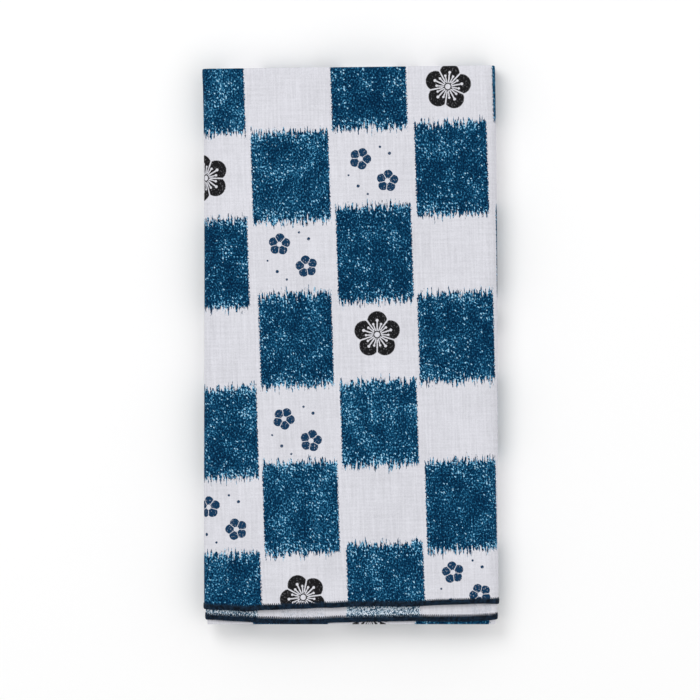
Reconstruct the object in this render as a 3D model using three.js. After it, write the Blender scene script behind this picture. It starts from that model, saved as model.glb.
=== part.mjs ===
// A tenugui: a hand towel of printed plain-weave cotton, folded flat into a slim pack.
//
// The towel is one rectangle of cloth, 340 mm from selvedge to selvedge and 900 mm between its
// two overlocked ends, so the whole part is one solid. It is folded twice:
//   1. Along its length, in half and in half again, which makes a bundle of four layers.
//      From the top these are the end that shows, the other end with its wrong side up, and
//      two layers joined by the near fold. Both ends lie at the near side, one behind the other.
//   2. Across its width, as a letter is folded, with both side flaps turned to the back.
//      The left flap lies against the centre panel, and the right flap wraps round them both.
//
// Frame: millimetres, +Z up out of the face that shows, +Y towards the far fold, and the
// origin under the middle of the pack, on the surface that it lies on.
import * as THREE from 'three';
import { mergeVertices } from 'three/addons/utils/BufferGeometryUtils.js';

// The pack's outline and the cloth.
const packWidth = 119.4; // at the far fold
const packLength = 227.4;
const clothThickness = 1;
const layerGap = 0.2;
const layersInBundle = 4;

// The letter fold. An outer layer goes further round a fold, so a flap's layers end in a stair.
const rightBendRadius = 0.6; // of the bundle's inner face, at each of the right fold's two corners
const innerFlapReach = 105.6;
const outerFlapReach = 109.4;
const stairPerLayer = 1.3;

// The length fold, one row for each run between folds, from the end that shows to the other one.
// The bundle wasn't folded quite square: drift is how far each run lies to the right.
const lengthRuns = [
  { layer: 4, startDrift: 6.0, endDrift: 0.0 },
  { layer: 1, startDrift: 0.0, endDrift: 0.4 },
  { layer: 2, startDrift: 0.4, endDrift: 1.6 },
  { layer: 3, startDrift: 1.6, endDrift: 4.6 },
];

// How far each overlocked end lies inside the near fold, at distances across the cloth from
// the pack's middle line.
const endLines = [
  { across: -170, topEnd: 7.6, secondEnd: 2.5 },
  { across: -110, topEnd: 7.0, secondEnd: 2.7 },
  { across: -60, topEnd: 6.7, secondEnd: 2.8 },
  { across: -43, topEnd: 6.0, secondEnd: 1.6 },
  { across: -20, topEnd: 6.9, secondEnd: 0.4 },
  { across: 0, topEnd: 7.3, secondEnd: 1.5 },
  { across: 25, topEnd: 7.6, secondEnd: 1.8 },
  { across: 45, topEnd: 8.2, secondEnd: 1.5 },
  { across: 60, topEnd: 8.7, secondEnd: 2.5 },
  { across: 110, topEnd: 8.3, secondEnd: 2.2 },
  { across: 170, topEnd: 7.7, secondEnd: 2.8 },
];

// Other unevenness of the hand-folded pack.
const endSlant = 0.36; // both end folds run this much further out at the right, and less at the left
const nearWidening = 0.5; // added to each half width at the near fold
const sideWander = 0.3; // how far the side folds stray from straight
const foldPuff = 0.03; // the pack is this share thicker at its folds than at its middle
const faceRipple = 0.012;
const topEndLift = 0.6; // the top layer's free end stands up this far

// Mesh steps.
const lengthBendSteps = 6; // for half a turn
const sideBendSteps = 8; // for half a turn
const flapSteps = 4;
const panelSteps = 8;
const runStops = [-0.66, -0.36, -0.12, 0.12, 0.36, 0.66]; // shares of half the pack's length

// Where each fold begins, worked out from the outline.
const layerPitch = clothThickness + layerGap;
const bundleHeight = layersInBundle * layerPitch;
const halfWidth = packWidth / 2;
const halfLength = packLength / 2;
const outerFaceHeight = bundleHeight - layerGap / 2;
const leftFoldX = -(halfWidth - outerFaceHeight);
const rightFoldX = halfWidth - outerFaceHeight - rightBendRadius;
const farFoldY = halfLength - (bundleHeight - layerGap) / 2;
const nearFoldY = -(halfLength - (layerPitch + clothThickness) / 2);

// Height of a layer's middle within the bundle.
function layerHeight(layer) {
  return (layer - 0.5) * layerPitch;
}

// The inset of one overlocked end, as a smooth curve through its column of the table.
function endInset(column) {
  const places = endLines.map((row) => row.across);
  const insets = endLines.map((row) => row[column]);
  const curve = new THREE.CubicInterpolant(places, insets, 1, new Float64Array(1));
  return (across) => curve.evaluate(across)[0];
}

// The half turn that joins two runs, seen from the side. A bend's normal points away from its
// middle, and facing turns it to the printed side of the cloth.
function foldBetween(run, nextRun, atFarEnd, printedUp) {
  const from = layerHeight(run.layer);
  const to = layerHeight(nextRun.layer);
  const middle = (from + to) / 2;
  const radius = Math.abs(from - to) / 2;
  const startSide = Math.sign(from - middle);
  const facing = printedUp * startSide;
  const outwards = atFarEnd ? 1 : -1;
  const foldY = atFarEnd ? farFoldY : nearFoldY;
  return Array.from({ length: lengthBendSteps + 1 }, (unused, step) => {
    const turn = (Math.PI * step) / lengthBendSteps;
    const bendY = outwards * Math.sin(turn);
    const bendHeight = startSide * Math.cos(turn);
    return {
      y: foldY + radius * bendY,
      height: middle + radius * bendHeight,
      normalY: facing * bendY,
      normalHeight: facing * bendHeight,
      drift: run.endDrift,
    };
  });
}

// The cloth's path along its length, from the overlocked end on top to the one below it.
// Each station's normal points to the printed side.
function lengthStations() {
  const stations = [];
  lengthRuns.forEach((run, index) => {
    const towardsFar = index % 2 === 0;
    const printedUp = towardsFar ? 1 : -1;
    const flat = { height: layerHeight(run.layer), normalY: 0, normalHeight: printedUp };
    const stops = towardsFar ? runStops : [...runStops].reverse();
    const runPart = stops.map((stop) => {
      const progress = towardsFar ? (1 + stop) / 2 : (1 - stop) / 2;
      const drift = THREE.MathUtils.lerp(run.startDrift, run.endDrift, progress);
      return { ...flat, y: stop * halfLength, drift };
    });
    const freeEnd = { ...flat, y: -halfLength };
    if (index === 0) {
      stations.push({ ...freeEnd, drift: run.startDrift, inset: endInset('topEnd'), lift: topEndLift });
    }
    stations.push(...runPart);
    if (index < lengthRuns.length - 1) {
      stations.push(...foldBetween(run, lengthRuns[index + 1], towardsFar, printedUp));
    } else {
      stations.push({ ...freeEnd, drift: run.endDrift, inset: endInset('secondEnd') });
    }
  });
  return stations;
}

// A part turn of the letter fold, seen from the near end, about a corner of the bundle's inner face.
function sideFold(cornerX, cornerZ, radius, fromDegrees, toDegrees) {
  const turn = toDegrees - fromDegrees;
  const steps = (sideBendSteps * Math.abs(turn)) / 180;
  return Array.from({ length: steps + 1 }, (unused, step) => {
    const angle = THREE.MathUtils.degToRad(fromDegrees + (turn * step) / steps);
    return {
      x: cornerX + radius * Math.cos(angle),
      z: cornerZ + radius * Math.sin(angle),
      normalX: Math.cos(angle),
      normalZ: Math.sin(angle),
    };
  });
}

// The bundle's path across its width, from the inner flap's edge to the outer flap's edge.
// x and z are on the bundle's inner face, and the layers are stacked along the normal.
function widthStations() {
  const panelZ = 2 * bundleHeight;
  const outerFlapZ = bundleHeight;
  const flapShares = Array.from({ length: flapSteps }, (unused, step) => (step + 1) / flapSteps);
  const flap = (x, z, towards, reach) =>
    flapShares.map((share) => ({ x, z, normalX: 0, normalZ: -1, towards, reach, share }));
  const panel = Array.from({ length: panelSteps - 1 }, (unused, step) => ({
    x: THREE.MathUtils.lerp(leftFoldX, rightFoldX, (step + 1) / panelSteps),
    z: panelZ,
    normalX: 0,
    normalZ: 1,
  }));
  return [
    ...flap(leftFoldX, panelZ, 1, innerFlapReach).reverse(),
    ...sideFold(leftFoldX, panelZ, 0, 270, 90),
    ...panel,
    ...sideFold(rightFoldX, panelZ - rightBendRadius, rightBendRadius, 90, 0),
    ...sideFold(rightFoldX, outerFlapZ + rightBendRadius, rightBendRadius, 0, -90),
    ...flap(rightFoldX, outerFlapZ, -1, outerFlapReach),
  ];
}

// Distance across the cloth from the pack's middle line, measured at half the bundle's height.
function distancesAcross(stations) {
  const spots = stations.map((station) => {
    const reach = station.share ? station.towards * station.reach * station.share : 0;
    const x = station.x + (bundleHeight / 2) * station.normalX + reach;
    const z = station.z + (bundleHeight / 2) * station.normalZ;
    return new THREE.Vector2(x, z);
  });
  const distances = [0];
  for (let index = 1; index < spots.length; index++) {
    distances.push(distances[index - 1] + spots[index].distanceTo(spots[index - 1]));
  }
  const panelIndex = stations.findIndex((station) => station.normalX === 0 && station.normalZ === 1);
  const middleLine = distances[panelIndex] - spots[panelIndex].x;
  return distances.map((distance) => distance - middleLine);
}

const widthPath = widthStations();
const lengthPath = lengthStations();
const acrossDistances = distancesAcross(widthPath);

// The pack as a person folds it: a little out of square, fuller at its folds, flat underneath.
function unevenPack(point) {
  const across = point.x / halfWidth;
  const along = point.y / halfLength;
  const ripple = Math.sin(2.1 * across + 0.8) * Math.cos(2.6 * along - 0.4);
  point.z *= 1 + foldPuff * Math.max(across ** 4, along ** 4) + faceRipple * ripple;
  point.y += endSlant * across * along;
  point.x += nearWidening * across * ((1 - along) / 2) + sideWander * Math.sin(2.4 * along + 0.5);
}

// A point of the folded cloth: side is 1 on the printed face and -1 on the wrong side.
function foldedPoint(widthIndex, lengthIndex, side) {
  const across = widthPath[widthIndex];
  const along = lengthPath[lengthIndex];
  const offset = (side * clothThickness) / 2;
  let x = across.x;
  let y = along.y + offset * along.normalY;
  let height = along.height + offset * along.normalHeight;
  if (across.share) {
    const stair = (stairPerLayer * along.height) / layerPitch;
    x += across.share * (across.towards * (across.reach - stair) + along.drift);
  }
  if (along.inset) {
    y += along.inset(acrossDistances[widthIndex]);
  }
  if (along.lift && across.normalZ > 0) {
    height += along.lift * (1 - (across.x / halfWidth) ** 4);
  }
  const z = across.z + height * across.normalZ - layerGap / 2;
  const point = new THREE.Vector3(x + height * across.normalX, y, z);
  unevenPack(point);
  return point;
}

// One flat slab with a grid of vertices, which are then moved to their folded places.
function foldedClothGeometry() {
  const widthSteps = widthPath.length - 1;
  const lengthSteps = lengthPath.length - 1;
  const slab = new THREE.BoxGeometry(2, 2, 2, widthSteps, lengthSteps, 1);
  const positions = slab.getAttribute('position');
  for (let index = 0; index < positions.count; index++) {
    const widthIndex = Math.round(((positions.getX(index) + 1) / 2) * widthSteps);
    const lengthIndex = Math.round(((positions.getY(index) + 1) / 2) * lengthSteps);
    const point = foldedPoint(widthIndex, lengthIndex, Math.sign(positions.getZ(index)));
    positions.setXYZ(index, point.x, point.y, point.z);
  }
  slab.deleteAttribute('normal');
  slab.deleteAttribute('uv');
  const cloth = mergeVertices(slab, 1e-4);
  cloth.computeBoundingBox();
  const middle = cloth.boundingBox.getCenter(new THREE.Vector3());
  cloth.translate(-middle.x, -middle.y, -cloth.boundingBox.min.z);
  cloth.computeVertexNormals();
  return cloth;
}

const printedCotton = new THREE.MeshStandardMaterial({
  name: 'printed_cotton',
  color: 0xe6e9ef,
  roughness: 0.92,
  metalness: 0,
});

const towel = new THREE.Mesh(foldedClothGeometry(), printedCotton);
towel.name = 'folded_cloth';

const part = new THREE.Group();
part.add(towel);

export default part;
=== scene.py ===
# A folded tenugui: one printed cotton cloth in twelve layers, with overlocked ends
import math

import bpy
import numpy as np
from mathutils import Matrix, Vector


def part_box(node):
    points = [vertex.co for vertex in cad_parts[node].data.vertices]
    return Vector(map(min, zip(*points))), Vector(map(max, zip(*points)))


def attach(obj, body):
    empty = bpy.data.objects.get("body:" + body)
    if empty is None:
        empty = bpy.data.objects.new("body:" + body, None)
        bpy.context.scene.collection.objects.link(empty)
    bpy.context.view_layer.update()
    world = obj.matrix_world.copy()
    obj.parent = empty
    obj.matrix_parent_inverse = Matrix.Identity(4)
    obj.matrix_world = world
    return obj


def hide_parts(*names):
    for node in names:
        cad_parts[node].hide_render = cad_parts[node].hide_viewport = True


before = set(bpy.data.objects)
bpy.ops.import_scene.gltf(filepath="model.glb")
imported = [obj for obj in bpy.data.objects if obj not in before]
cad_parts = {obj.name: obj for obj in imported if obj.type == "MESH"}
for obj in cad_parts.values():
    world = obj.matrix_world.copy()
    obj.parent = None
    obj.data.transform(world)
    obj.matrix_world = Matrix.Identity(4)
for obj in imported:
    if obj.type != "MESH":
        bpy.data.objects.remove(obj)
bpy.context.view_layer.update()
mm = 0.001

# The folded towel. It has the sizes of the solid it stands for, and a thinner cloth.
towel = {
    "width": 119.4 * mm,
    "length": 227.4 * mm,
    "cutWidth": 340 * mm,  # the cloth from selvedge to selvedge
    "cloth": 0.6 * mm,
    "bundle": 4.8 * mm,  # four layers of the solid, with the gap above them
    "outerFace": 4.7 * mm,  # from the bundle's inner face to its outer one
    "settle": 0.1 * mm,  # the whole towel sits this much lower, to rest on the floor
    "rightCorner": 0.6 * mm,  # the bundle's inner face turns with this radius at the right
    "innerFlap": 105.6 * mm,
    "outerFlap": 109.4 * mm,
    "stair": 1.3 * mm,  # a flap ends this much sooner for each layer of the solid further out
    "solidPitch": 1.2 * mm,  # between two layers of the solid
    "foldRoundness": 0.72,  # 1 is a round fold, less is a squarer one
    "cornerFill": 0.4,  # how far the inner side of a length fold fills out at its corners
    "sideTightness": 0.5,  # how far the inner layers reach out to the outer one at the sides
    "nearReach": 0.25 * mm,  # the near folds reach this far past the solid's
    "endLift": 0.6 * mm,  # how high the free end on top curls up
    "endCurl": 11 * mm,  # it starts to rise this far from its edge
    "underLift": 0.42 * mm,  # underneath, its thread lifts it this far off the floor
}

# How folding by hand strays from a neat rectangle
unevenness = {
    "endSlant": 0.36 * mm,  # an end's slant, from its middle to a side
    "nearWidening": 0.5 * mm,  # at each side of the near end
    "cornerFlare": {"amount": 0.5 * mm, "across": 3, "along": 12},  # the far left corner spreads
    "foldPuff": {"amount": 0.03, "power": 4},  # the towel is higher by this share at its folds
    "sideWander": {"amount": 0.3 * mm, "rate": 2.4, "start": 0.5},
    "rippleAcross": {"amount": 0.012, "rate": 2.1, "start": 0.8},
    "rippleAlong": {"amount": 1.0, "rate": 2.6, "start": math.pi / 2 - 0.4},
}

# One row for each run of cloth between length folds: the layer in the bundle, and the drift
# of the run to the right at its start and end
runs = [
    {"layer": 4, "drift": (6.0 * mm, 0.0)},
    {"layer": 1, "drift": (0.0, 0.4 * mm)},
    {"layer": 2, "drift": (0.4 * mm, 1.6 * mm)},
    {"layer": 3, "drift": (1.6 * mm, 4.6 * mm)},
]

# How far the two sewn ends lie inside the near fold, in millimetres, at places across the cloth
endLines = {
    "across": [-170, -110, -60, -43, -20, 0, 25, 45, 60, 110, 170],
    "top": [7.6, 7.0, 6.3, 5.5, 6.4, 7.1, 7.5, 8.1, 8.6, 8.3, 7.7],
    "second": [2.5, 2.6, 2.1, 0.95, 0.1, 0.85, 1.15, 1.2, 1.9, 2.2, 2.8],
    "wobble": {"top": 1.0, "second": -0.5},  # how much of the edge waves each end takes
    "fades": 34 * mm,  # the cloth lies straight again this far from the near fold
}

# Mesh steps, finer where the cloth shows
grid = {
    "panel": 66,
    "leftBend": 16,
    "corner": 8,
    "innerFlap": 16,
    "outerFlap": 42,
    "shownRun": 122,
    "hiddenRun": 22,
    "nearEnd": 7,
    "lengthBend": 12,
}

# Soft unevenness of the cloth itself, each kind summed from a number of plain waves
waves = {
    "number": 14,
    "spread": (0.7, 1.6),  # a plain wave's size, as a share of the named one
    "peak": 4.5,  # about the highest that so many waves add up to
    "long": {"size": 62 * mm, "height": 0.13 * mm, "seed": 11},
    "short": {"size": 19 * mm, "height": 0.05 * mm, "seed": 12},
    "layer": {"size": 45 * mm, "height": 0.10 * mm, "seed": 20},
    "edge": {"size": 13 * mm, "height": 0.22 * mm, "seed": 5},
    "farCalm": {"reach": 25 * mm, "least": 0.15},  # the waves shrink to this share at a fold
    "nearCalm": {"reach": 18 * mm, "least": 0.3},
    "pressed": 0.3,  # what is left of them where the floor presses the cloth flat
}

halfWidth = towel["width"] / 2
halfLength = towel["length"] / 2
layersOut = len(runs) - 0.5  # from the bundle's inner face to the middle of its outer layer
pitch = (towel["outerFace"] - towel["cloth"] / 2) / layersOut  # between the middles of two layers
outerBend = (len(runs) - 1) / 2 * pitch
farFoldY = halfLength - outerBend - towel["cloth"] / 2
nearFoldY = -(halfLength + towel["nearReach"] - (pitch + towel["cloth"]) / 2)
leftFoldX = -(halfWidth - towel["outerFace"])
rightFoldX = halfWidth - towel["outerFace"] - towel["rightCorner"]


def softWave(x, y, kind, seedStep=0):
    draw = np.random.default_rng(kind["seed"] + seedStep)
    total = np.zeros(np.broadcast(x, y).shape)
    for _ in range(waves["number"]):
        turn = draw.uniform(0, 2 * math.pi)
        rate = 2 * math.pi / (kind["size"] * draw.uniform(*waves["spread"]))
        start = draw.uniform(0, 2 * math.pi)
        total += np.sin(rate * (x * math.cos(turn) + y * math.sin(turn)) + start)
    return kind["height"] * (total / waves["peak"])


def smoothCurve(x, places, values):  # a cubic through the given values
    places = np.asarray(places, float)
    values = np.asarray(values, float)
    slopes = np.gradient(values, places)
    spot = np.clip(np.searchsorted(places, x) - 1, 0, len(places) - 2)
    span = places[spot + 1] - places[spot]
    share = np.clip((x - places[spot]) / span, 0, 1)
    rest = 1 - share
    start = (1 + 2 * share) * rest**2 * values[spot] + share * rest**2 * span * slopes[spot]
    end = (3 - 2 * share) * share**2 * values[spot + 1] - rest * share**2 * span * slopes[spot + 1]
    return start + end


# The bundle's path across its width: x and z on its inner face, its normal, and for a flap
# the way it runs, its reach and how far along it a station is
def widthPath():
    top = 2 * towel["bundle"]
    low = towel["bundle"]
    corner = towel["rightCorner"]

    def flap(x, z, way, reach, steps):
        shares = [(step + 1) / steps for step in range(steps)]
        return [(x, z, 0.0, -1.0, way, reach, share) for share in shares]

    def bend(x, z, radius, start, end, steps):
        made = []
        for step in range(steps + 1):
            turn = math.radians(start + (end - start) * step / steps)
            normal = (math.cos(turn), math.sin(turn))
            made.append((x + radius * normal[0], z + radius * normal[1], *normal, 0.0, 0.0, 0.0))
        return made

    rows = flap(leftFoldX, top, 1.0, towel["innerFlap"], grid["innerFlap"])[::-1]
    rows += bend(leftFoldX, top, 0, 270, 90, grid["leftBend"])
    for step in range(1, grid["panel"]):
        x = leftFoldX + (rightFoldX - leftFoldX) * step / grid["panel"]
        rows.append((x, top, 0.0, 1.0, 0.0, 0.0, 0.0))
    rows += bend(rightFoldX, top - corner, corner, 90, 0, grid["corner"])
    rows += bend(rightFoldX, low + corner, corner, 0, -90, grid["corner"])
    rows += flap(rightFoldX, low, -1.0, towel["outerFlap"], grid["outerFlap"])
    names = ("x", "z", "normalX", "normalZ", "way", "reach", "share")
    return dict(zip(names, np.array(rows).T))


def runHeight(index):
    return (runs[index]["layer"] - 0.5) * pitch


def runRows(index):  # one run of cloth, which goes to the far fold or comes back from it
    goesFar = index % 2 == 0
    near = -halfLength if index in (0, len(runs) - 1) else nearFoldY
    stops = np.linspace(near, farFoldY, grid["hiddenRun" if index else "shownRun"] + 1)
    if index != 0:  # closer steps where the near end shows
        closer = np.linspace(near, stops[1], grid["nearEnd"] + 1)
        stops = np.concatenate([closer, stops[2:]])
    progress = (stops + halfLength) / towel["length"]
    if not goesFar:
        stops, progress = stops[::-1], 1 - progress[::-1]
    drifts = np.interp(progress, (0, 1), runs[index]["drift"])
    return [(y, runHeight(index), drift, index, 0.0) for y, drift in zip(stops, drifts)]


def foldRows(index):  # the fold from this run to the next one
    here, there = runHeight(index), runHeight(index + 1)
    middle, radius = (here + there) / 2, abs(here - there) / 2
    down = math.copysign(1, here - there)
    foldY, out = (farFoldY, 1) if index % 2 == 0 else (nearFoldY, -1)
    rows = []
    for step in range(1, grid["lengthBend"]):
        turn = math.pi * step / grid["lengthBend"]
        reach = math.sin(turn) ** towel["foldRoundness"]
        rise = math.copysign(abs(math.cos(turn)) ** towel["foldRoundness"], math.cos(turn))
        level = middle + down * radius * rise
        filled = towel["cornerFill"] * (middle + radius - level) * reach**2
        y = foldY + out * radius * reach
        rows.append((y, level, runs[index]["drift"][1], index + 0.5, filled))
    return rows


# The cloth's path along its length, from the sewn end on top to the one below it: y, height in
# the bundle, drift, the run, and how far a fold's corner fills out
def lengthPath():
    rows = []
    for index in range(len(runs)):
        rows += runRows(index)
        if index < len(runs) - 1:
            rows += foldRows(index)
    names = ("y", "height", "drift", "run", "filled")
    return dict(zip(names, np.array(rows).T))


# Distance in millimetres along the middle of the bundle, from the towel's middle line
def bundleDistance(wide, middle):
    half = towel["bundle"] / 2
    x = wide["x"] + half * wide["normalX"] + wide["way"] * wide["share"] * wide["reach"]
    z = wide["z"] + half * wide["normalZ"]
    reached = np.concatenate([[0], np.cumsum(np.hypot(np.diff(x), np.diff(z)))])
    return (reached - reached[middle] + wide["x"][middle]) / mm


def onOuterFlap(across):  # the outer flap, and the lower half of the fold beside it
    return across["z"] < 1.5 * towel["bundle"]


def wanderingEnds(y, run, distance):  # the two sewn ends lie unevenly inside the near fold
    nearness = np.clip(1 - (y + halfLength) / endLines["fades"], 0, 1)
    wobble = softWave(distance * mm, 0 * distance, waves["edge"])
    for index, name in ((0, "top"), (len(runs) - 1, "second")):
        inset = smoothCurve(distance, endLines["across"], endLines[name]) * mm
        inset = inset + wobble * endLines["wobble"][name]
        y = y + np.where(run == index, nearness * inset, 0)
    return y


def freeEndLift(y, run, across):  # the end on top curls up a little
    curl = np.clip(1 - (y - y[:1]) / towel["endCurl"], 0, 1) ** 2
    onPanel = np.clip(across["normalZ"], 0, 1) * (1 - (across["x"] / halfWidth) ** 4)
    below = np.clip(-across["normalZ"], 0, 1) * onOuterFlap(across)
    lift = towel["endLift"] * onPanel - towel["underLift"] * below
    return np.where(run == 0, lift * curl, 0)


def layerWaves(x, y, run, height, across):  # each layer's own shape, less where it bends
    far, near = waves["farCalm"], waves["nearCalm"]
    calm = np.clip((farFoldY - y) / far["reach"], far["least"], 1)
    calm = calm * np.clip((y - nearFoldY) / near["reach"], near["least"], 1)
    rise = softWave(x, y, waves["long"]) + softWave(x, y, waves["short"])
    for index in range(len(runs)):
        own = softWave(x, y, waves["layer"], index)
        rise = rise + np.where(np.round(run) == index, own, 0)
    facesDown = (across["normalZ"] < -0.5) & onOuterFlap(across)
    onFloor = facesDown & (height > (len(runs) - 1) * pitch)
    rise = np.where(onFloor, -waves["pressed"] * np.abs(rise), rise)
    return rise * calm * across["normalZ"] ** 2


# The towel as folding by hand leaves it: a little out of square, fuller at its folds, and flat
# underneath
def unevenFolding(x, y, z):
    across, along = x / halfWidth, y / halfLength
    corner, puff = unevenness["cornerFlare"], unevenness["foldPuff"]

    def wave(name, place):
        row = unevenness[name]
        return row["amount"] * np.sin(row["rate"] * place + row["start"])

    ripple = wave("rippleAcross", across) * wave("rippleAlong", along)
    nearFold = np.maximum(np.abs(across), np.abs(along)) ** puff["power"]
    fullness = puff["amount"] * nearFold + ripple
    flare = np.clip(-across, 0, 1) ** corner["across"] * np.clip(along, 0, 1) ** corner["along"]
    newX = x + unevenness["nearWidening"] * across * (1 - along) / 2
    newX = newX + wave("sideWander", along) - corner["amount"] * flare
    newY = y + unevenness["endSlant"] * across * along
    return newX, newY, z * (1 + fullness)


def stepLengths(points, axis):
    return np.linalg.norm(np.diff(points, axis=axis), axis=2)


# Each point's place on the flat cloth, measured along the folded one
def flatPlaces(surface, middle, drift, farFold):
    flatX = np.zeros(surface.shape[:2])
    flatX[:, 1:] = np.cumsum(stepLengths(surface, 1), axis=1)
    flatX += (surface[:, middle, 0] - flatX[:, middle])[:, None] - drift
    spare = towel["cutWidth"] / 2 - halfWidth
    for column in (0, -1):  # a flap gives or takes a little, so that it ends at the cut edge
        way = np.sign(flatX[:1, column])
        beyond = np.maximum(flatX * way - halfWidth, 0)
        fit = spare / (np.abs(flatX[:, column, None]) - halfWidth) - 1
        flatX = flatX + way * beyond * fit
    flatY = np.zeros(surface.shape[:2])
    flatY[1:] = np.cumsum(stepLengths(surface, 0), axis=0)
    flatY += farFoldY + halfLength - flatY[farFold]
    return flatX, flatY


# The middle surface of the folded cloth, with its normals and each point's place on the flat
# cloth. Rows follow the length, columns the width.
def foldCloth():
    wide, long = widthPath(), lengthPath()
    across = {key: value[None, :] for key, value in wide.items()}
    along = {key: value[:, None] for key, value in long.items()}
    height, run = along["height"], along["run"]
    onFace = wide["normalZ"] > 0.99
    middle = np.argmin(np.where(onFace, np.abs(wide["x"]), np.inf))  # the middle of the face

    # flaps end in a stair, and at the sides the inner layers reach out towards the outer one
    reach = across["way"] * (across["reach"] - towel["stair"] * height / towel["solidPitch"])
    flapX = across["share"] * (reach + along["drift"])
    side = np.interp(across["x"], (leftFoldX, rightFoldX), (-1, 1))
    baseX = across["x"] + flapX + towel["sideTightness"] * (layersOut * pitch - height) * side

    y = along["y"] + 0 * baseX
    y = wanderingEnds(y, run, bundleDistance(wide, middle)[None, :])
    height = height + freeEndLift(y, run, across)
    height = height + layerWaves(baseX, y, run, height, across)
    x = baseX + (height + along["filled"]) * across["normalX"]
    z = across["z"] + height * across["normalZ"] - towel["settle"]
    surface = np.stack(unevenFolding(x, y, z), axis=2)

    # normals from the surface itself, pointing out of the printed side
    normals = np.cross(np.gradient(surface, axis=1), np.gradient(surface, axis=0))
    normals /= np.linalg.norm(normals, axis=2, keepdims=True)
    farFold = np.argmax(long["run"] > 0)
    return surface, normals, *flatPlaces(surface, middle, along["drift"], farFold)


def meshPiece(name, points, faces, attributes):
    mesh = bpy.data.meshes.new(name)
    mesh.from_pydata(points.tolist(), [], faces)
    for key, values in attributes.items():
        kind, field = ("FLOAT", "value") if values.ndim == 1 else ("FLOAT_VECTOR", "vector")
        layer = mesh.attributes.new(key, kind, "POINT")
        layer.data.foreach_set(field, values.astype(np.float32).ravel())
    mesh.polygons.foreach_set("use_smooth", np.ones(len(mesh.polygons), bool))
    mesh.update()
    piece = bpy.data.objects.new(name, mesh)
    bpy.context.scene.collection.objects.link(piece)
    return piece


# A closed sheet round the middle surface
def clothMesh(name, surface, normals, flatX, flatY):
    rows, columns = flatX.shape
    half = towel["cloth"] / 2
    printed, plain = surface + half * normals, surface - half * normals
    points = np.concatenate([printed.reshape(-1, 3), plain.reshape(-1, 3)])
    index = np.arange(rows * columns).reshape(rows, columns)
    under = index + rows * columns
    faces = []

    def quads(*corners):
        faces.append(np.stack(corners, axis=-1).reshape(-1, 4))

    quads(index[:-1, :-1], index[:-1, 1:], index[1:, 1:], index[1:, :-1])
    quads(under[:-1, :-1], under[1:, :-1], under[1:, 1:], under[:-1, 1:])
    quads(index[0, 1:], index[0, :-1], under[0, :-1], under[0, 1:])
    quads(index[-1, :-1], index[-1, 1:], under[-1, 1:], under[-1, :-1])
    quads(index[:-1, 0], index[1:, 0], under[1:, 0], under[:-1, 0])
    quads(index[1:, -1], index[:-1, -1], under[:-1, -1], under[1:, -1])
    places = np.stack([flatX / mm, flatY / mm], axis=2).reshape(-1, 2)
    side = np.repeat([1.0, 0.0], rows * columns)  # 1 on the printed side
    fromEnd = np.minimum(flatY - flatY[:1], flatY[-1:] - flatY) / mm
    attributes = {
        "clothPlace": np.column_stack([np.tile(places, (2, 1)), side]),
        "fromSewnEnd": np.tile(fromEnd.ravel(), 2),
    }
    return meshPiece(name, points, np.concatenate(faces).tolist(), attributes)


print("folding the cloth")
middleSurface, normals, flatX, flatY = foldCloth()
halfCloth = towel["cloth"] / 2 * normals
bothFaces = np.stack([middleSurface + halfCloth, middleSurface - halfCloth]).reshape(-1, 3)
offset = (bothFaces.min(axis=0) + bothFaces.max(axis=0)) / 2
middleSurface = middleSurface - [offset[0], offset[1], 0]  # the outline's middle is the origin
cloth = clothMesh("folded_towel", middleSurface, normals, flatX, flatY)
print("cloth:", len(cloth.data.polygons), "faces, flat size", np.ptp(flatX), np.ptp(flatY))

# Overlock sewing: looper thread wound round the cut end, and a line of needle stitches inside it.
# Of the cloth's rows, an end has its own and one further in. The width is how far the looper
# thread reaches in from the cut end, and the overhang how far it reaches past it.
overlock = {
    "pitch": 0.87 * mm,  # from one stitch to the next
    "top": {"rows": (0, 2), "width": 2.15 * mm, "needleSide": 1, "seed": 41},
    "second": {"rows": (-1, -3), "width": 2.5 * mm, "needleSide": -1, "seed": 42},
    "overhang": 0.18 * mm,
    "thread": 0.34 * mm,
    "loopRoundness": 0.55,  # 1 is a round loop, less has a flatter top
    "scallop": 0.42 * mm,  # how much longer every other loop is
    "swell": 0.55,  # a long loop is this much thicker where it turns back
    "looseLength": 0.06 * mm,  # how unevenly the loops are drawn in,
    "looseLift": 0.1,  # and how unevenly they stand off the cloth
    "needleThread": 0.26 * mm,
    "needleLine": 1.62 * mm,  # its distance inside the cut end
    "stitchFoot": 0.1 * mm,  # a needle stitch dips this far into the cloth
    "stitchHeight": 0.32 * mm,  # and rises this far from there
    "stitchRoundness": 0.5,
    "sides": 5,
    "pointsPerTurn": 10,
    "pointsPerStitch": 5,
    "guide": (0.31, 0.17, 0.93),  # an odd direction, from which a tube's sides are set out
}


def threadTube(path, radius):  # points and faces of a tube round a path
    sides = overlock["sides"]
    ahead = np.gradient(path, axis=0)
    ahead /= np.linalg.norm(ahead, axis=1, keepdims=True)
    guide = np.cross(ahead, np.roll(ahead, 1, axis=0) + overlock["guide"])
    guide /= np.linalg.norm(guide, axis=1, keepdims=True)
    other = np.cross(ahead, guide)
    turns = np.linspace(0, 2 * math.pi, sides, endpoint=False)[None, :, None]
    ring = np.cos(turns) * guide[:, None] + np.sin(turns) * other[:, None]
    points = path[:, None] + radius[:, None, None] * ring
    index = np.arange(len(path) * sides).reshape(len(path), sides)
    nextSide = np.roll(index, -1, axis=1)
    faces = np.stack([index[:-1], nextSide[:-1], nextSide[1:], index[1:]], axis=-1)
    ends = [index[0, ::-1].tolist(), index[-1].tolist()]
    return points.reshape(-1, 3), faces.reshape(-1, 4).tolist() + ends


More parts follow.
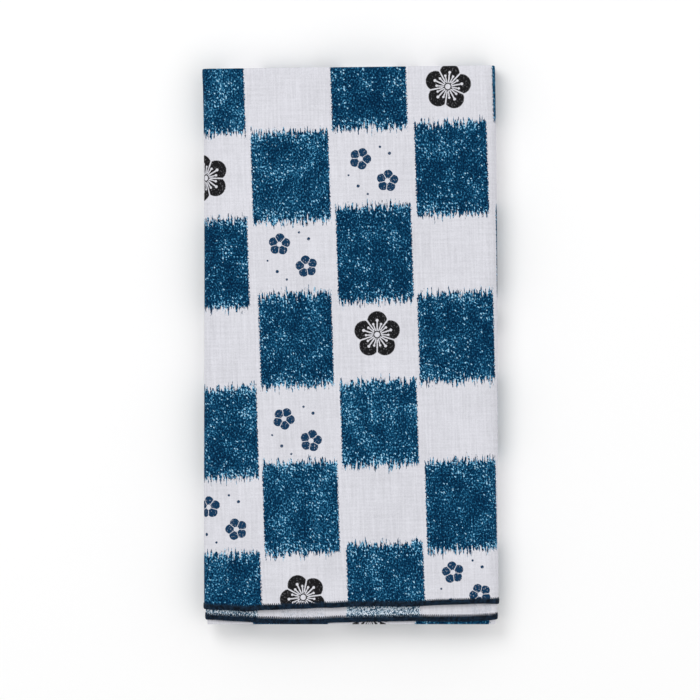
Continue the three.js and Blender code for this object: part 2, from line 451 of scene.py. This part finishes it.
def sewnEnd(row, nextRow):  # an end's line, the way into the cloth and the printed side
    edge = middleSurface[row]
    inwards = middleSurface[nextRow] - edge
    inwards /= np.linalg.norm(inwards, axis=1, keepdims=True)
    steps = np.linalg.norm(np.diff(edge, axis=0), axis=1)
    return {"lines": (edge, inwards, normals[row]), "places": np.concatenate([[0], np.cumsum(steps)])}


def threadPath(end, places, reach, lift):  # a thread's path, at places along an end
    start, inwards, up = (
        np.stack([np.interp(places, end["places"], line[:, axis]) for axis in range(3)], axis=1)
        for line in end["lines"]
    )
    return start + inwards * reach[:, None] + up * lift[:, None]


def looperThread(end, width, seed):  # its path and thickness, and how loosely each loop lies
    draw = np.random.default_rng(seed)
    length = end["places"][-1]
    turns = int(length / overlock["pitch"]) * 2
    turn = np.linspace(0, turns, turns * overlock["pointsPerTurn"])
    places = np.clip(turn * overlock["pitch"] / 2, 0, length)
    loose = np.interp(turn, np.arange(turns + 1), draw.uniform(-1, 1, turns + 1))
    isLong = np.round(turn) % 2 == 0
    across, up = np.cos(2 * math.pi * turn), np.sin(2 * math.pi * turn)
    inside = np.clip(across, 0, 1)  # 1 where the thread turns back inside the cloth's edge
    halfReach = (width + overlock["overhang"]) / 2
    halfHeight = (towel["cloth"] + overlock["thread"]) / 2
    scallop = overlock["scallop"] * np.where(isLong, 0.5, -0.5) + overlock["looseLength"] * loose
    reach = halfReach * (1 + across) - overlock["overhang"] + scallop * inside
    lift = np.sign(up) * np.abs(up) ** overlock["loopRoundness"] * halfHeight
    lift = lift * (1 + overlock["looseLift"] * loose)
    radius = overlock["thread"] / 2 * (1 + overlock["swell"] * isLong * inside**3)
    return threadPath(end, places, reach, lift), radius, loose


def needleThread(end, side):  # its path and thickness, a low arch for each stitch
    length = end["places"][-1]
    stitches = int(length / overlock["pitch"])
    stitch = np.linspace(0, stitches, stitches * overlock["pointsPerStitch"])
    places = np.clip(stitch * overlock["pitch"], 0, length)
    arch = np.abs(np.sin(math.pi * stitch)) ** overlock["stitchRoundness"]
    foot = towel["cloth"] / 2 - overlock["stitchFoot"]
    lift = side * (foot + overlock["stitchHeight"] * arch)
    reach = np.full(len(stitch), overlock["needleLine"])
    return threadPath(end, places, reach, lift), np.full(len(stitch), overlock["needleThread"] / 2)


def sewEnd(name, own):
    end = sewnEnd(*own["rows"])
    path, radius, loose = looperThread(end, own["width"], own["seed"])
    looperPoints, faces = threadTube(path, radius)
    needlePoints, needleFaces = threadTube(*needleThread(end, own["needleSide"]))
    first = len(looperPoints)
    faces += [[corner + first for corner in face] for face in needleFaces]
    looseness = np.zeros(first + len(needlePoints))
    looseness[:first] = np.repeat(loose, overlock["sides"])
    points = np.concatenate([looperPoints, needlePoints])
    return meshPiece(name, points, faces, {"looseness": looseness})


print("sewing the ends")
topSewing = sewEnd("overlock_top_end", overlock["top"])
secondSewing = sewEnd("overlock_second_end", overlock["second"])


# Shader maths: a wire carries one value, and an expression on wires adds Math nodes
class Wire:
    def __init__(self, finish, socket):
        self.finish = finish
        self.socket = socket

    def math(self, operation, *values):
        return self.finish.node("Math", {"operation": operation}, dict(enumerate(values)))

    def __add__(self, other):
        return self.math("ADD", self, other)

    def __radd__(self, other):
        return self.math("ADD", other, self)

    def __sub__(self, other):
        return self.math("SUBTRACT", self, other)

    def __rsub__(self, other):
        return self.math("SUBTRACT", other, self)

    def __mul__(self, other):
        return self.math("MULTIPLY", self, other)

    def __rmul__(self, other):
        return self.math("MULTIPLY", other, self)

    def __truediv__(self, other):
        return self.math("DIVIDE", self, other)

    def __rtruediv__(self, other):
        return self.math("DIVIDE", other, self)

    def __pow__(self, other):
        return self.math("POWER", self, other)

    def __rpow__(self, other):
        return self.math("POWER", other, self)

    def __mod__(self, other):
        return self.math("FLOORED_MODULO", self, other)

    def __rmod__(self, other):
        return self.math("FLOORED_MODULO", other, self)

    def __abs__(self):
        return self.math("ABSOLUTE", self)

    def __gt__(self, other):
        return self.math("GREATER_THAN", self, other)

    def __lt__(self, other):
        return self.math("LESS_THAN", self, other)

    def floor(self):
        return self.math("FLOOR", self)

    def round(self):
        return self.math("ROUND", self)

    def most(self, other):
        return self.math("MAXIMUM", self, other)

    def least(self, other):
        return self.math("MINIMUM", self, other)

    def sin(self):
        return self.math("SINE", self)

    def cos(self):
        return self.math("COSINE", self)


class Finish:  # one material and the nodes that make it
    def __init__(self, name):
        self.material = bpy.data.materials.new(name)
        self.material.use_nodes = True
        self.tree = self.material.node_tree
        self.tree.nodes.clear()

    def node(self, kind, settings=None, values=None, output=0):
        made = self.tree.nodes.new("ShaderNode" + kind)
        for key, value in (settings or {}).items():
            if key == "stops":
                while len(made.color_ramp.elements) < len(value):
                    made.color_ramp.elements.new(0.5)
                for element, (place, colour) in zip(made.color_ramp.elements, value):
                    element.position, element.color = place, (*colour, 1)
            else:
                setattr(made, key, value)
        for key, value in (values or {}).items():
            socket = made.inputs[key]
            if isinstance(value, Wire):
                self.tree.links.new(value.socket, socket)
            elif hasattr(socket.default_value, "__len__") and len(socket.default_value) == 4:
                socket.default_value = (*value, 1)
            else:
                socket.default_value = value
        return Wire(self, made.outputs[output]) if made.outputs else None

    def attribute(self, name, output):
        return self.node("Attribute", {"attribute_name": name}, output=output)

    def point(self, x, y):
        return self.node("CombineXYZ", values={0: x, 1: y})

    def noise(self, x, y, lumps):  # 0 to 1, with so many lumps to a millimetre each way
        x, y = x * lumps["rate"][0], y * lumps["rate"][1]
        if "start" in lumps:  # so that it doesn't rise and fall with another noise
            x = x + lumps["start"]
        values = {"Vector": self.point(x, y), "Scale": 1.0, "Detail": lumps["detail"]}
        values["Roughness"] = lumps.get("roughness", 0.5)
        return self.node("TexNoise", {"noise_dimensions": "2D"}, values)

    def uneven(self, x, y, lumps):  # the same noise, as much above 0 as below it
        return (self.noise(x, y, lumps) - 0.5) * lumps["amount"]

    def dice(self, x, y):  # a random value for each whole x and y
        return self.node("TexWhiteNoise", {"noise_dimensions": "2D"}, {"Vector": self.point(x, y)})

    def shift(self, x, y, amounts):  # a random distance for each whole x and y, up to the most
        return (self.dice(x + amounts["column"], y + amounts["row"]) - 0.5) * 2 * amounts["most"]

    def ease(self, value, low, high):  # 0 below low, 1 above high
        values = {"Value": value, "From Min": low, "From Max": high}
        return self.node("MapRange", {"interpolation_type": "SMOOTHSTEP"}, values)

    def blend(self, share, first, second):  # two colours, which have sockets 6 and 7 of a Mix node
        values = {0: share, 6: first, 7: second}
        return self.node("Mix", {"data_type": "RGBA"}, values, 2)

    def surface(self, values):
        shader = self.node("BsdfPrincipled", values=values)
        self.node("OutputMaterial", values={"Surface": shader})
        return self.material


def display(*levels):  # a colour as a screen shows it, turned into light
    shares = [level / 255 for level in levels]
    return tuple(((v + 0.055) / 1.055) ** 2.4 if v > 0.04 else v / 12.92 for v in shares)


# The print, in millimetres on the flat cloth: squares of indigo with brushed ends
squares = {
    "wide": 33.03,
    "tall": 34.4,
    "firstColumn": 24.3,
    "firstRow": 201.35,
    "askew": 0.034,
    "inkedWidth": 30.7,
    "inkedTaller": 1.0,  # an inked square reaches this far past its row at each end
    "endShift": {"most": 2.2, "column": 381, "row": 113},  # and its end strays from there
    "widthShift": {"most": 1.2, "column": 16, "row": 53},
    "middleShift": {"most": 0.45, "column": 16, "row": 21},
    # how ragged the ends of a square are, and its sides
    "brush": {"rate": (1.15, 0.17), "detail": 3.0, "roughness": 0.65, "amount": 13.0},
    "fuzz": {"rate": (2.2, 1.4), "detail": 1.0, "amount": 1.6},
    "softEdge": 0.15,
    "selvedge": 167.6,
}

# How thin the ink is at a spot, from 0.3 for full ink to 0.8 for bare cloth
ink = {
    "grain": {"rate": (1.55, 1.2), "detail": 2.5, "roughness": 0.62, "amount": 0.9},
    "crossings": 0.1,
    "patches": {"rate": (1 / 7, 1 / 9), "detail": 2.0, "start": 40, "amount": 0.24},
    "squareShift": {"most": 0.02, "column": 3, "row": 0},
    "hazeReach": (6.5, 0.5),  # how far from a brushed end it starts to thin, and is thinnest
    "haze": 0.03,
    "streaks": {"rate": (1.7, 0.30), "detail": 2.0, "roughness": 0.6, "start": 9, "amount": 0.72},
    "colours": [
        (0.30, display(0, 27, 53)),
        (0.42, display(0, 40, 70)),
        (0.50, display(3, 52, 84)),
        (0.56, display(12, 69, 103)),
        (0.62, display(31, 99, 137)),
        (0.69, display(78, 155, 192)),
        (0.77, display(178, 225, 250)),
    ],
    "throughGrain": 1.3,  # on the wrong side the ink shows through by grain and by crossings
    "throughCrossings": 0.5,
    "throughOffset": -0.4,
    "throughColours": [
        (0.30, display(32, 66, 90)),
        (0.42, display(88, 120, 144)),
        (0.50, display(148, 175, 194)),
        (0.60, display(204, 220, 232)),
        (0.70, display(224, 231, 240)),
    ],
}

# Round specks where the ink missed the cloth, one to each cell at most
specks = {
    "cell": 1.15,
    "radius": 0.36,
    "core": 0.55,  # the share of the radius that is quite bare
    "share": 0.085,  # of the cells hold a speck
    "moreAtEnds": 0.24,
    "moreInPatches": 0.5,
    "ragged": {"rate": (3.4, 3.4), "detail": 1.0, "amount": 0.9},
    "thinness": 0.8,
}

# Plum blossom in some of the white squares: one large and dark, or two small in indigo with dots
blossoms = {
    "large": {"kind": 1, "size": 10.4, "worn": 0.2, "colour": display(27, 27, 29)},
    "small": {"kind": 3, "size": 4.9, "worn": 0.45, "colour": display(18, 56, 88)},
    "smallPlaces": [(-5.6, 4.9), (5.2, -4.6)],
    "dots": [
        (6.4, 6.6, 0.66),
        (2.6, 9.4, 0.48),
        (-6.8, -6.2, 0.66),
        (-3.0, -9.6, 0.48),
        (-10.6, -1.6, 0.42),
    ],
    "dotEdge": 0.08,
    "strayX": {"most": 2.0, "column": 31, "row": 0},
    "strayY": {"most": 2.0, "column": 0, "row": 31},
    "turn": {"most": 6.3, "column": 17, "row": 5},
    "edge": {"rate": (3.1, 3.1), "detail": 1.0, "amount": 0.30},
    "wornGrain": (0.60, 0.70),  # the grain where they start to thin, and where they are thinnest
    "through": 0.2,  # how much of them shows on the wrong side
}

# One blossom, as shares of its size. A pair is where an edge starts and where it is complete.
petals = {
    "count": 5,
    "middle": 0.53,  # how far out the middle of a petal lies
    "rim": (0.405, 0.375),
    "base": (0.34, 0.30),
    "seam": (0.035, 0.015),  # the bare line between two petals
    "seamStart": 0.2,
    "eye": (0.24, 0.18),  # bare, in the middle of a small blossom
    "heart": (0.12, 0.09),  # bare, in the middle of a large one
}
stamens = [
    {"lean": 0.0, "line": (0.034, 0.016), "ends": (0.15, 0.52), "tipAt": 0.56, "tip": (0.065, 0.045)},
    {"lean": 0.36, "line": (0.030, 0.014), "ends": (0.15, 0.40), "tipAt": 0.44, "tip": (0.055, 0.038)},
]

# The cloth: plain weave, in a white that isn't quite even
weave = {
    "thread": 0.40,  # from one thread to the next
    "white": display(216, 216, 223),
    "warpLines": {"rate": (1 / 0.80, 1 / 16), "detail": 1.0},  # a lump covers two threads
    "weftLines": {"rate": (1 / 16, 1 / 0.80), "detail": 1.0},
    "clouds": {"rate": (1 / 18, 1 / 18), "detail": 3.0, "amount": 0.11},
    "warpSlub": 0.20,
    "weftSlub": 0.13,
    "grain": 0.09,  # how much the shade differs from crossing to crossing
    # painted shadow: the cloth beside each cut end, under the overlock thread, is darkened to a shaded
    # thread colour so the gaps between the loops look dark
    "paintedThreadShadow": {"reach": (1.78, 1.62), "colour": display(9, 22, 36)},  # beside a cut end
    "crossover": 0.35,  # how gently one yarn takes over from the other
    "dip": 0.45,  # how far the lower yarn goes under
    "relief": {"yarns": 0.7, "slubs": 1.4, "crossings": 0.12},
    "bump": 0.00011,
    "bumpStrength": 0.5,
    "roughness": 0.86,
    "roughnessChange": 0.08,
    "specular": 0.06,
}


# Which square a spot is in, and the spot's place there. A square's ends wander, as if the ink
# was brushed on along the cloth.
def findSquare(finish, u, v):
    shifted = v - squares["askew"] * u - squares["firstRow"]
    column = ((u - squares["firstColumn"]) / squares["wide"]).floor()
    nearEnd = (shifted / squares["tall"]).round()
    inkedAbove = (column + nearEnd) % 2  # 1 where the square past this end is the inked one
    endShift = finish.shift(column, nearEnd, squares["endShift"])
    endShift = endShift + (1 - inkedAbove * 2) * squares["inkedTaller"]
    fromEnd = shifted - nearEnd * squares["tall"] - finish.uneven(u, v, squares["brush"]) - endShift
    row = nearEnd - (fromEnd < 0)
    return {
        "column": column,
        "row": row,
        "isInked": (column + row) % 2,
        "fromEnd": abs(fromEnd),
        "x": u - squares["firstColumn"] - (column + 0.5) * squares["wide"],
        "y": shifted - (row + 0.5) * squares["tall"],
    }


def inkedShare(finish, u, v, square):  # 1 on the ink, with a fuzzy edge at both sides
    column, row = square["column"], square["row"]
    side = abs(square["x"] + finish.shift(column, row, squares["middleShift"]))
    side = side + finish.uneven(u, v, squares["fuzz"]) - squares["inkedWidth"] / 2
    side = side - finish.shift(column, row, squares["widthShift"]) / 2
    return square["isInked"] * finish.ease(side, squares["softEdge"], -squares["softEdge"])


# The ink's colours on the printed side and on the wrong one. It is thin in specks and streaks,
# more of them near the brushed ends.
def inkColours(finish, u, v, square, grain, crossing):
    patches = finish.noise(u, v, ink["patches"]) - 0.5
    haze = finish.ease(square["fromEnd"], *ink["hazeReach"])
    thin = grain * ink["grain"]["amount"] + crossing * ink["crossings"]
    thin = thin + patches * ink["patches"]["amount"]
    thin = thin + finish.shift(square["column"], square["row"], ink["squareShift"])
    thin = thin + haze * (ink["haze"] + finish.uneven(u, v, ink["streaks"]))

    ragged = finish.uneven(u, v, specks["ragged"])
    cell = finish.point(u / specks["cell"] + ragged, v / specks["cell"] - ragged)
    voronoi = ("TexVoronoi", {"voronoi_dimensions": "2D"}, {"Vector": cell, "Scale": 1.0})
    away, colour = finish.node(*voronoi, 0), finish.node(*voronoi, 1)
    draw = finish.node("SeparateColor", values={0: colour})
    chosen = draw < specks["share"] + haze * specks["moreAtEnds"] + patches * specks["moreInPatches"]
    speck = chosen * finish.ease(away, specks["radius"], specks["radius"] * specks["core"])
    thin = thin.most(speck * specks["thinness"])
    through = grain * ink["throughGrain"] + crossing * ink["throughCrossings"] + ink["throughOffset"]
    printed = finish.node("ValToRGB", {"stops": ink["colours"]}, {0: thin})
    return printed, finish.node("ValToRGB", {"stops": ink["throughColours"]}, {0: through})


def blossom(finish, x, y, size, turn, hasStamens):  # how much of a spot is inked petal
    sector = 2 * math.pi / petals["count"]
    distance = (x * x + y * y) ** 0.5 / size
    angle = finish.node("Math", {"operation": "ARCTAN2"}, {0: y, 1: x}) + turn
    angle = (angle + sector / 2) % sector - sector / 2
    out, aside = distance * angle.cos(), abs(distance * angle.sin())
    petal = ((out - petals["middle"]) ** 2 + aside * aside) ** 0.5
    inked = finish.ease(petal, *petals["rim"]).most(finish.ease(distance, *petals["base"]))
    bare = finish.ease(distance * (sector / 2 - abs(angle)).sin(), *petals["seam"])
    bare = bare * (distance > petals["seamStart"])
    if not hasStamens:
        return inked * (1 - bare.most(finish.ease(distance, *petals["eye"])))
    bare = bare.most(finish.ease(distance, *petals["heart"]))
    for row in stamens:
        straight, slanted = math.cos(row["lean"]), math.sin(row["lean"])
        far, off = out * straight + aside * slanted, abs(aside * straight - out * slanted)
        line = finish.ease(off, *row["line"]) * (far > row["ends"][0]) * (far < row["ends"][1])
        tip = finish.ease(((far - row["tipAt"]) ** 2 + off * off) ** 0.5, *row["tip"])
        bare = bare.most(line).most(tip)
    return inked * (1 - bare)


# How much of a spot is a large mark, and how much a small one. White squares are of three kinds,
# which take turns across each row, and one kind is bare.
def plumBlossoms(finish, u, v, square):
    column, row = square["column"], square["row"]
    kind = (column + row * 3 - ((1 - row) / 3).floor() * 2 + 1) % 6
    edge = finish.uneven(u, v, blossoms["edge"])
    x = square["x"] + finish.shift(column, row, blossoms["strayX"]) + edge
    y = square["y"] + finish.shift(column, row, blossoms["strayY"]) - edge
    draw = blossoms["turn"]
    turn = finish.dice(column + draw["column"], row + draw["row"]) * draw["most"]
    largeMark = blossom(finish, x, y, blossoms["large"]["size"], turn, True)
    smallMark = 0.0
    for step, (placeX, placeY) in enumerate(blossoms["smallPlaces"]):
        mark = blossom(finish, x - placeX, y - placeY, blossoms["small"]["size"], turn + step, False)
        smallMark = mark.most(smallMark)
    for placeX, placeY, radius in blossoms["dots"]:
        away = ((x - placeX) ** 2 + (y - placeY) ** 2) ** 0.5
        dot = finish.ease(away, radius + blossoms["dotEdge"], radius - blossoms["dotEdge"])
        smallMark = smallMark.most(dot)
    isLarge, isSmall = (abs(kind - blossoms[name]["kind"]) < 0.5 for name in ("large", "small"))
    return largeMark * isLarge, smallMark * isSmall


def weaveNormal(finish, u, v, slubs, crossing):  # plain weave: warp and weft take turns on top
    warp, weft = ((place * math.pi / weave["thread"]).sin() for place in (u, v))
    warpUp = finish.ease(warp * weft, -weave["crossover"], weave["crossover"])
    warpHeight = abs(warp) * (1 - weave["dip"] + warpUp * weave["dip"])
    height = warpHeight.most(abs(weft) * (1 - warpUp * weave["dip"])) * weave["relief"]["yarns"]
    height = height + slubs * weave["relief"]["slubs"] + crossing * weave["relief"]["crossings"]
    values = {"Strength": weave["bumpStrength"], "Distance": weave["bump"], "Height": height}
    return finish.node("Bump", values=values)


def printedCotton():
    finish = Finish("printed_cotton")
    place = finish.attribute("clothPlace", 1)
    u, v, printedSide = (finish.node("SeparateXYZ", values={0: place}, output=axis) for axis in range(3))
    square = findSquare(finish, u, v)
    isPrinted = abs(u) < squares["selvedge"]
    grain = finish.noise(u, v, ink["grain"])
    crossing = finish.dice((u / weave["thread"]).floor(), (v / weave["thread"]).floor())
    inked = inkedShare(finish, u, v, square) * isPrinted
    inkColour, throughColour = inkColours(finish, u, v, square, grain, crossing)

    # uneven yarn makes faint lines both ways in the white
    warpLines, weftLines = (finish.noise(u, v, weave[name]) - 0.5 for name in ("warpLines", "weftLines"))
    shade = 1 + warpLines * weave["warpSlub"] + weftLines * weave["weftSlub"]
    shade = shade + finish.uneven(u, v, weave["clouds"]) + (crossing - 0.5) * weave["grain"]
    white = finish.node("VectorMath", {"operation": "SCALE"}, {0: weave["white"], "Scale": shade})

    # the marks are a little thin in places, as the ink is
    whiteSquare = (1 - square["isInked"]) * isPrinted
    marks = plumBlossoms(finish, u, v, square)
    worn = finish.ease(grain, *blossoms["wornGrain"])
    printed = finish.blend(inked, white, inkColour)
    for mark, look in zip(marks, (blossoms["large"], blossoms["small"])):
        share = mark * whiteSquare * (1 - worn * look["worn"])
        printed = finish.blend(share, printed, look["colour"])
    through = inked + (marks[0] + marks[1]) * whiteSquare * blossoms["through"]
    plain = finish.blend(through.least(1.0), white, throughColour)
    colour = finish.blend(printedSide > 0.5, plain, printed)
    # painted shadow under the overlock thread: the cloth near a sewn end is darkened
    paintedThreadShadow = finish.ease(finish.attribute("fromSewnEnd", 2), *weave["paintedThreadShadow"]["reach"])
    return finish.surface({
        "Base Color": finish.blend(paintedThreadShadow, colour, weave["paintedThreadShadow"]["colour"]),
        "Roughness": weave["roughness"] + weave["roughnessChange"] * crossing,
        "Specular IOR Level": weave["specular"],
        "Normal": weaveNormal(finish, u, v, warpLines + weftLines, crossing),
    })


# Spun thread: a fine twist, and lighter and darker stretches; the stretches are painted shade, as in the
# gaps between strands, and painted highlight, scattered at random
spun = {
    "twist": {"scale": 3200.0, "amount": 0.35},
    # painted shade and highlight: random darker and lighter stretches of the thread
    "paintedShadeAndHighlight": {"scale": 800.0, "amount": 0.65},
    "detail": 2.0,
    "loose": 0.05,  # how much lighter a loosely drawn loop is
    "lightens": (0.36, 0.66),
    "dark": display(2, 13, 26),
    "light": display(31, 55, 78),
    "bump": 0.00008,
    "bumpStrength": 0.35,
    "roughness": 0.6,
    "roughnessChange": 0.2,
    "specular": 0.16,
}


def sewingThread():
    finish = Finish("overlock_thread")
    spot = finish.node("TexCoord", output=3)
    values = {"Vector": spot, "Detail": spun["detail"]}
    twist, paintedShadeAndHighlight = (
        finish.node("TexNoise", {"noise_dimensions": "3D"}, {**values, "Scale": spun[name]["scale"]})
        for name in ("twist", "paintedShadeAndHighlight")
    )
    # the second noise paints shade and highlight into the thread's colour
    share = twist * spun["twist"]["amount"] + paintedShadeAndHighlight * spun["paintedShadeAndHighlight"]["amount"]
    share = share + finish.attribute("looseness", 2) * spun["loose"]
    bump = {"Strength": spun["bumpStrength"], "Distance": spun["bump"], "Height": twist}
    return finish.surface({
        "Base Color": finish.blend(finish.ease(share, *spun["lightens"]), spun["dark"], spun["light"]),
        "Roughness": spun["roughness"] + spun["roughnessChange"] * twist,
        "Specular IOR Level": spun["specular"],
        "Normal": finish.node("Bump", values=bump),
    })


print("mixing the finishes")
cloth.data.materials.append(printedCotton())
threadFinish = sewingThread()
for piece in (topSewing, secondSewing):
    piece.data.materials.append(threadFinish)

for piece, slot in (
    (cloth, "printed_cotton"),
    (topSewing, "overlock_thread"),
    (secondSewing, "overlock_thread"),
):
    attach(piece, "root")
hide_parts("folded_cloth")

# The studio: a pale floor and soft light from above and behind the towel
studio = {
    "floor": {"size": 3.0, "level": -0.00005, "colour": (0.985, 0.985, 0.985), "roughness": 0.95},
    "world": 0.71,
    "lights": [
        {"name": "key", "place": (-0.55, 0.75, 1.25), "size": 0.9, "power": 7.5},
        {"name": "fill", "place": (0.9, -0.5, 1.3), "size": 1.4, "power": 3.5},
    ],
}


def buildFloor(look):
    bpy.ops.mesh.primitive_plane_add(size=look["size"], location=(0, 0, look["level"]))
    floor = bpy.context.object
    floor.name = "floor"
    finish = Finish("pale_floor")
    surface = finish.surface({"Base Color": look["colour"], "Roughness": look["roughness"]})
    floor.data.materials.append(surface)


def buildLights():
    world = bpy.data.worlds.new("studio")
    bpy.context.scene.world = world
    world.use_nodes = True
    background = world.node_tree.nodes["Background"]
    background.inputs["Color"].default_value = (1.0, 1.0, 1.0, 1.0)
    background.inputs["Strength"].default_value = studio["world"]
    for row in studio["lights"]:
        light = bpy.data.lights.new(row["name"], "AREA")
        light.shape, light.size, light.energy = "DISK", row["size"], row["power"]
        holder = bpy.data.objects.new(row["name"], light)
        holder.location = x, y, z = row["place"]
        holder.rotation_euler = (math.atan2(math.hypot(x, y), z), 0, math.atan2(x, -y))
        bpy.context.scene.collection.objects.link(holder)


# A camera straight above the towel
camera = {
    "millimetresPerPixel": 0.408,
    "framePixels": 700,
    "towelMiddle": (350.2, 345.7),  # where the towel's middle lies in the frame
    "roll": 0.33,  # the towel lies turned this many degrees to the left
    "height": 2.6,
    "sensor": 36.0,
    "clip": (0.05, 10),
}


def buildCamera():
    lens = bpy.data.cameras.new("overhead")
    holder = bpy.data.objects.new("overhead", lens)
    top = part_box("folded_cloth")[1][2]
    scale = camera["millimetresPerPixel"] * mm
    lens.sensor_width = camera["sensor"]
    lens.lens = camera["sensor"] * (camera["height"] - top) / (camera["framePixels"] * scale)
    lens.clip_start, lens.clip_end = camera["clip"]
    offX, offY = ((camera["framePixels"] / 2 - value) * scale for value in camera["towelMiddle"])
    roll = math.radians(camera["roll"])
    holder.location = (offX * math.cos(roll) - offY * math.sin(roll), -offY, camera["height"])
    holder.rotation_euler = (0, 0, -roll)
    bpy.context.scene.collection.objects.link(holder)
    bpy.context.scene.camera = holder


print("setting up the studio")
buildFloor(studio["floor"])
buildLights()
buildCamera()
bpy.context.scene.view_settings.view_transform = "Standard"
